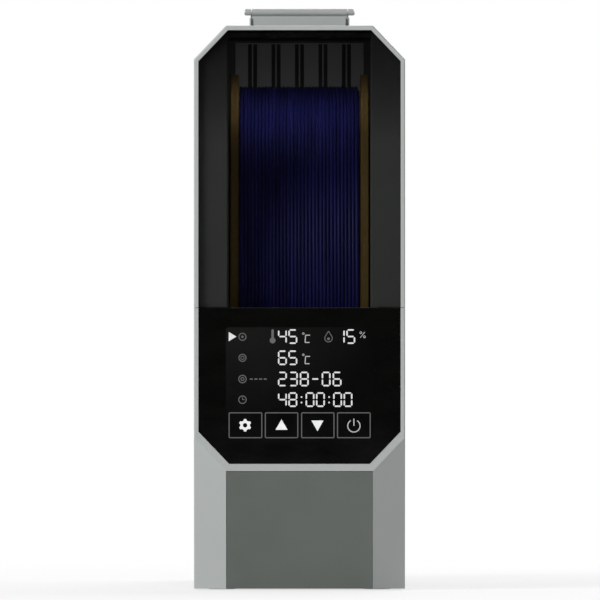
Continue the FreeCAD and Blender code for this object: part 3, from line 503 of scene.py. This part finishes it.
# straight stroke between two points
def addStroke(bm, p, q, stroke):
    p, q = Vector(p), Vector(q)
    along = (q - p).normalized() * stroke / 2
    across = Vector((-along.y, along.x))
    points = [p - across, q - across, q + across, p + across]
    addOutline(bm, [(v.x, v.y) for v in points])


# bars of a number display, by the sides of a digit's box
barsOf = {
    "0": "abcdef", "1": "bc", "2": "abdeg", "3": "abcdg", "4": "bcfg", "5": "acdfg",
    "6": "acdefg", "7": "abc", "8": "abcdefg", "9": "abcdfg", "-": "g",
}
digit = {"width": 4.4, "height": 7.25, "stroke": 0.74, "gap": 0.22}
colon = {"at": 1.35, "dots": (2.2, 4.9), "radius": 0.42, "sides": 16, "step": 0.65}


def addBar(bm, p, q):
    w = digit["stroke"] / 2
    along = (Vector(q) - Vector(p)).normalized()
    across = Vector((-along.y, along.x)) * w
    a = Vector(p) + along * digit["gap"]
    b = Vector(q) - along * digit["gap"]
    lower = [a, a + along * w - across, b - along * w - across]
    upper = [b, b - along * w + across, a + along * w + across]
    addOutline(bm, [(v.x, v.y) for v in lower + upper])


def addDigit(bm, sign, x, z):
    w = digit["stroke"] / 2
    left, right = x + w, x + digit["width"] - w
    low, high = z + w, z + digit["height"] - w
    mid = (low + high) / 2
    ends = {
        "a": ((left, high), (right, high)),
        "b": ((right, mid), (right, high)),
        "c": ((right, low), (right, mid)),
        "d": ((left, low), (right, low)),
        "e": ((left, low), (left, mid)),
        "f": ((left, mid), (left, high)),
        "g": ((left, mid), (right, mid)),
    }
    for bar in barsOf[sign]:
        addBar(bm, *ends[bar])


def addNumber(bm, signs, x, z, pitch):
    for sign in signs:
        if sign == ":":
            for dz in colon["dots"]:
                addDisc(bm, x + colon["at"], z + dz, colon["radius"], colon["sides"])
            x += pitch * colon["step"]
        else:
            addDigit(bm, sign, x, z)
            x += pitch


# marks that shine through the glass, in millimetres on the front, from the middle and the floor
screen = {
    "rows": (122.1, 111.6, 101.1, 90.9),
    "bright": (0.86, 0.88, 0.87),
    "faint": (0.115, 0.122, 0.12),
}


def glowFinish(name, rgb, strength=1.0):
    f = Finish(name)
    f.colour(f.noise(420, 2), "Fac", drifting(rgb, 0.93, 1.05), "Emission Color")
    f.set(Base_Color=(0.02, 0.02, 0.02, 1), Roughness=0.5, Specular_IOR_Level=0.05)
    f.set(Emission_Strength=strength)
    return f


# each line: its signs, the row, where it starts and how wide its digits stand
numbers = {
    "lines": (("45", 0, -10.65, 1.0), ("15", 0, 18.0, 1.0), ("65", 1, -10.65, 1.0),
              ("238-06", 2, -10.65, 1.05), ("48:00:00", 3, -10.65, 1.0)),
    "pitch": 5.15,
    "pointer": ((-35.0, 123.4), (-31.2, 125.7), (-35.0, 128.0)),
    "glow": 0.86,
}


def makeNumbers():
    bm = bmesh.new()
    for signs, row, x, wide in numbers["lines"]:
        addNumber(bm, signs, x, screen["rows"][row], numbers["pitch"] * wide)
    addOutline(bm, numbers["pointer"])
    glow = glowFinish("screen_white", screen["bright"], numbers["glow"])
    makePiece("screen_numbers", bm, glow, "base")


degrees = {"x": 1.3, "up": 0.2, "dot": (0.6, 4.9, 0.42, 0.26), "stroke": 0.44,
           "hook": ((3.9, 4.1), (1.7, 4.1), (1.45, 0.5), (3.65, 0.5))}
percent = {"rings": ((30.3, 5.5), (32.1, 3.5)), "radius": 0.48, "ringStroke": 0.26,
           "bar": ((30.1, 3.1), (32.3, 5.9)), "barStroke": 0.28}
power = {"x": 26.9, "z": 81.55, "radius": 3.05, "stroke": 0.52, "start": 122, "sweep": 296,
         "bar": (81.6, 85.1)}


def addDegrees(bm, row):
    x, z = degrees["x"], row + degrees["up"]
    dx, dz, radius, stroke = degrees["dot"]
    addRing(bm, x + dx, z + dz, radius, stroke)
    hook = [(x + hx, z + hz) for hx, hz in degrees["hook"]]
    for p, q in zip(hook, hook[1:]):
        addStroke(bm, p, q, degrees["stroke"])


# degrees in two rows, percent in the first, and the power key's sign
def makeSigns():
    bm = bmesh.new()
    rows = screen["rows"]
    for row in rows[:2]:
        addDegrees(bm, row)
    for x, up in percent["rings"]:
        addRing(bm, x, rows[0] + up, percent["radius"], percent["ringStroke"])
    addStroke(bm, *[(x, rows[0] + up) for x, up in percent["bar"]], percent["barStroke"])
    addRing(bm, power["x"], power["z"], power["radius"], power["stroke"], power["start"], power["sweep"])
    addStroke(bm, *[(power["x"], z) for z in power["bar"]], power["stroke"])
    makePiece("screen_units", bm, glowFinish("screen_pale", shade(screen["bright"], 0.55)), "base")


# rings and discs are given by their middle, row, height in the row and radius
icons = {
    "stem": ((-13.9, 2.2), (-12.7, 2.2), (-12.7, 6.6), (-13.9, 6.6)),
    "stemEnds": ((-13.3, 6.6, 0.6, 20), (-13.3, 1.7, 1.45, 28)),
    "endLift": 0.00001,
    "drop": {"x": 14.35, "up": 2.8, "radius": 1.85, "tall": 3.5, "stroke": 0.4, "overlap": 2},
    "discs": ((14.35, 0, 2.5, 0.7, 20), (-28.2, 0, 3.5, 0.6, 20)),
    "rings": ((-28.2, 0, 3.5, 1.75, 0.42), (-28.2, 1, 3.6, 1.75, 0.42), (-28.2, 1, 3.6, 0.8, 0.36),
              (-28.2, 2, 3.6, 1.85, 0.42), (-28.2, 2, 3.6, 0.75, 0.42), (-28.2, 3, 3.6, 1.85, 0.42)),
    "dashes": {"count": 4, "x": -24.6, "step": 2.3, "long": 1.5, "up": 3.6, "stroke": 0.6},
    "hands": (((-28.2, 3.5), (-28.2, 4.9)), ((-28.0, 3.6), (-27.1, 3.6))),
    "handStroke": 0.34,
}


# drop with a point above a round belly, whose ring runs a little way into the two strokes
def addDrop(bm, row):
    drop = icons["drop"]
    x, z, radius = drop["x"], row + drop["up"], drop["radius"]
    lean = math.acos(radius / drop["tall"])
    start = 90 - drop["overlap"] + math.degrees(lean)
    sweep = 360 + 2 * drop["overlap"] - 2 * math.degrees(lean)
    addRing(bm, x, z, radius, drop["stroke"], start, sweep)
    for side in (-1, 1):
        foot = (x + side * radius * math.sin(lean), z + radius * math.cos(lean))
        addStroke(bm, foot, (x, z + drop["tall"]), drop["stroke"])


# quiet signs beside the rows: thermometer, drop, two targets, a reel and a clock
def makeIcons():
    bm = bmesh.new()
    rows = screen["rows"]
    addOutline(bm, [(x, rows[0] + up) for x, up in icons["stem"]])
    for x, up, radius, sides in icons["stemEnds"]:
        addDisc(bm, x, rows[0] + up, radius, sides, icons["endLift"])
    addDrop(bm, rows[0])
    for x, row, up, radius, sides in icons["discs"]:
        addDisc(bm, x, rows[row] + up, radius, sides)
    for x, row, up, radius, stroke in icons["rings"]:
        addRing(bm, x, rows[row] + up, radius, stroke)
    dashes = icons["dashes"]
    for k in range(dashes["count"]):
        x = dashes["x"] + dashes["step"] * k
        z = rows[2] + dashes["up"]
        addStroke(bm, (x, z), (x + dashes["long"], z), dashes["stroke"])
    for p, q in icons["hands"]:
        addStroke(bm, (p[0], rows[3] + p[1]), (q[0], rows[3] + q[1]), icons["handStroke"])
    makePiece("screen_icons", bm, glowFinish("screen_grey", screen["faint"]), "base")


keys = {
    "spans": ((-35.05, -18.4), (-17.15, -0.6), (0.8, 17.3), (18.55, 35.2)),
    "low": 75.45,
    "high": 88.25,
    "stroke": 0.5,
    "corner": 0.7,
    "line": (0.10, 0.104, 0.10),
    "up": ((-11.85, 79.6), (-5.9, 79.6), (-8.9, 84.75)),
    "down": ((5.9, 84.2), (8.9, 78.9), (11.85, 84.2)),
}
gear = {"x": -26.9, "z": 81.85, "teeth": 6, "tip": 3.1, "root": 2.4, "hole": 1.1, "turn": 20,
        "perTooth": 6, "raised": (1, 2, 3)}


def makeKeyFrames():
    bm = bmesh.new()
    for x0, x1 in keys["spans"]:
        addFrame(bm, x0, x1, keys["low"], keys["high"], keys["stroke"], keys["corner"])
    makePiece("key_outlines", bm, glowFinish("key_line_grey", keys["line"]), "base")


# toothed outer loop bridged to a round hole
def addGear(bm):
    count = gear["teeth"] * gear["perTooth"]
    turn = Matrix.Rotation(math.radians(gear["turn"]), 3, "Y") @ Matrix.Rotation(math.pi / 2, 3, "X")
    loops = []
    for radius in (gear["root"], gear["hole"]):
        made = bmesh.ops.create_circle(bm, segments=count, radius=radius * mm)
        bmesh.ops.rotate(bm, verts=made["verts"], cent=(0, 0, 0), matrix=turn)
        loops.append(made["verts"])
    tips = [v for k, v in enumerate(loops[0]) if k % gear["perTooth"] in gear["raised"]]
    bmesh.ops.scale(bm, verts=tips, vec=(gear["tip"] / gear["root"],) * 3)
    edges = list({e for loop in loops for v in loop for e in v.link_edges})
    bridged = bmesh.ops.bridge_loops(bm, edges=edges)
    bmesh.ops.translate(bm, verts=loops[0] + loops[1], vec=(gear["x"] * mm, 0, gear["z"] * mm))
    raisePlate(bm, bridged["faces"])


def makeKeySigns():
    bm = bmesh.new()
    addGear(bm)
    addOutline(bm, keys["up"])
    addOutline(bm, keys["down"])
    makePiece("key_signs", bm, glowFinish("key_sign_white", screen["bright"]), "base")


field = {
    "corners": ((-36.4, 73.6), (36.4, 73.6), (36.4, 130.3), (-36.4, 130.3)),
    "round": 1.6,
    "fade": (15, 1, 24),
    "middle": (0.42, 0, -3.06),
    "dark": (0.0034, 0.0034, 0.0032),
    "lit": (0.0125, 0.0125, 0.012),
    "film": 0.00001,
}


# the lit field behind the rows, brighter to the upper left
def makeField():
    f = Finish("screen_field")
    fade = f.add("ShaderNodeTexGradient")
    fade.gradient_type = "SPHERICAL"
    mapping = f.space(field["fade"])
    mapping.inputs["Location"].default_value = field["middle"]
    f.link(mapping, "Vector", fade, "Vector")
    f.colour(fade, "Fac", [(0.0, field["dark"]), (1.0, field["lit"])])
    f.rough(f.noise(80, 3), 0.04, 0.09)
    f.set(Specular_IOR_Level=blackGlass["level"])
    bm = bmesh.new()
    face = bm.faces.new([bm.verts.new((x * mm, 0, z * mm)) for x, z in field["corners"]])
    bmesh.ops.bevel(bm, geom=face.verts[:], offset=field["round"] * mm, segments=6, profile=0.5,
                    affect="VERTICES", material=-1)
    raisePlate(bm, bm.faces[:], -field["film"], field["film"])
    makePiece("screen_field", bm, f, "base")


makeField()
makeNumbers()
makeSigns()
makeIcons()
makeKeyFrames()
makeKeySigns()
print("display marks made")


room = {
    "floor": 3.2,
    "floorTone": (0.55, 0.55, 0.545),
    "seen": (0.97, 0.97, 0.97),
    "floorWhite": 0.62,
    "fade": 0.6,
    "below": 0.0002,
    "ambient": 0.08,
}


# rays that the camera, gloss and clear plastic send out
def pictureRays(tree):
    path = tree.nodes.new("ShaderNodeLightPath")
    seen = path.outputs["Is Camera Ray"]
    for name in ("Is Glossy Ray", "Is Transmission Ray"):
        either = tree.nodes.new("ShaderNodeMath")
        either.operation = "MAXIMUM"
        tree.links.new(seen, either.inputs[0])
        tree.links.new(path.outputs[name], either.inputs[1])
        seen = either.outputs["Value"]
    return either


# a thing of the studio, which isn't part of the object
def standIn(name, bm, finish):
    mesh = bpy.data.meshes.new(name)
    bm.to_mesh(mesh)
    bm.free()
    mesh.materials.append(finish.material)
    obj = bpy.data.objects.new(name, mesh)
    scene.collection.objects.link(obj)
    return obj


# pale floor that keeps a soft shadow and goes to white in the picture, more so away from the object
def makeFloor():
    f = Finish("floor_pale")
    tone = f.colour(f.noise(3, 2), "Fac", drifting(room["floorTone"], 0.99, 1.0))
    f.set(Roughness=0.9, Specular_IOR_Level=0.1)
    seen = pictureRays(f.tree)
    f.over(tone, seen, "Value", room["seen"])
    far = f.add("ShaderNodeVectorMath")
    far.operation = "LENGTH"
    f.link(f.place, "Object", far, "Vector")
    reach = f.span(far, "Value", (0, room["fade"]), (room["floorWhite"], 1))
    share = f.times(seen, "Value", reach, "Result")
    glow = f.add("ShaderNodeEmission")
    mix = f.add("ShaderNodeMixShader")
    f.link(share, "Value", mix, "Fac")
    f.link(f.shader, "BSDF", mix, 1)
    f.link(glow, "Emission", mix, 2)
    f.link(mix, "Shader", f.out, "Surface")
    bm = bmesh.new()
    bmesh.ops.create_circle(bm, cap_ends=True, segments=96, radius=room["floor"])
    floor = standIn("floor", bm, f)
    floor.location.z = -room["below"]


darkCard = {"tones": ((0.004, 0.004, 0.004), (0.006, 0.006, 0.006)), "size": 1.1, "at": (0, -3.9, 0.3)}


# dark card behind the camera, seen only in gloss, as studios use for black glass
def makeCard():
    f = Finish("card_black")
    f.colour(f.noise(4, 2), "Fac", list(zip((0.3, 0.7), darkCard["tones"])))
    f.set(Roughness=0.9, Specular_IOR_Level=0.0)
    bm = bmesh.new()
    bmesh.ops.create_grid(bm, x_segments=1, y_segments=1, size=darkCard["size"])
    bmesh.ops.rotate(bm, verts=bm.verts, cent=(0, 0, 0), matrix=Matrix.Rotation(math.pi / 2, 3, "X"))
    bmesh.ops.translate(bm, verts=bm.verts, vec=darkCard["at"])
    card = standIn("dark_card", bm, f)
    card.visible_camera = False
    card.visible_diffuse = False
    card.visible_shadow = False
    card.visible_transmission = False


def makeWorld():
    world = bpy.data.worlds.new("studio")
    scene.world = world
    world.use_nodes = True
    tree = world.node_tree
    tree.nodes.clear()
    out = tree.nodes.new("ShaderNodeOutputWorld")
    mix = tree.nodes.new("ShaderNodeMixShader")
    tree.links.new(pictureRays(tree).outputs["Value"], mix.inputs["Fac"])
    for socket, strength in ((1, room["ambient"]), (2, 1.0)):
        sky = tree.nodes.new("ShaderNodeBackground")
        sky.inputs["Color"].default_value = (1, 1, 1, 1)
        sky.inputs["Strength"].default_value = strength
        tree.links.new(sky.outputs["Background"], mix.inputs[socket])
    tree.links.new(mix.outputs["Shader"], out.inputs["Surface"])


lamps = {
    "key_left": {"at": (-3.4, -3.05, 2.05), "aim": (0, -0.13, 0.15), "size": (2.0, 2.0), "power": 196},
    "front_low": {"at": (0.1, -2.9, 0.42), "aim": (0, 0, 0.15), "size": (0.5, 0.5), "power": 12.5},
    "side_right": {"at": (1.8, 1.2, 0.85), "aim": (0, 0, 0.15), "size": (1.1, 1.1), "power": 18},
    "back_soft": {"at": (0.5, 2.0, 1.1), "aim": (0, 0, 0.15), "size": (1.2, 1.2), "power": 21},
    "top_soft": {"at": (0.0, 0.7, 1.9), "aim": (0, 0, 0.15), "size": (1.2, 1.2), "power": 6},
    "chamber_soft": {"at": (0, -0.095, 0.266), "aim": (0, 0.09, 0.262), "size": (0.06, 0.008),
                     "power": 0.022},
}
unseenInGloss = ("front_low", "chamber_soft")


def makeLamps():
    for name, values in lamps.items():
        data = bpy.data.lights.new(name, "AREA")
        data.shape = "RECTANGLE"
        data.size, data.size_y = values["size"]
        data.energy = values["power"]
        lamp = bpy.data.objects.new(name, data)
        scene.collection.objects.link(lamp)
        lamp.location = values["at"]
        aim = Vector(values["aim"]) - lamp.location
        lamp.rotation_euler = aim.to_track_quat("-Z", "Y").to_euler()
        lamp.visible_camera = False
        lamp.visible_glossy = name not in unseenInGloss


shot = {"lens": 1600, "sensor": 36, "width": 0.2967, "x": 0.00025, "z": 0.1438, "eye": 0.281,
        "clip": (0.1, 50)}


# long lens at the height of the lid's top, aimed at the middle of the front
def makeCamera():
    data = bpy.data.cameras.new("camera")
    data.lens = shot["lens"]
    data.sensor_width = shot["sensor"]
    data.clip_start, data.clip_end = shot["clip"]
    camera = bpy.data.objects.new("camera", data)
    scene.collection.objects.link(camera)
    away = shot["width"] * shot["lens"] / shot["sensor"]
    camera.location = (shot["x"], cadBox[0].y - away, shot["eye"])
    aim = Vector((shot["x"], cadBox[0].y, shot["z"])) - camera.location
    camera.rotation_euler = aim.to_track_quat("-Z", "Y").to_euler()
    scene.camera = camera


makeFloor()
makeCard()
makeWorld()
makeLamps()
makeCamera()
scene.view_settings.view_transform = "Standard"
print("studio and camera ready")
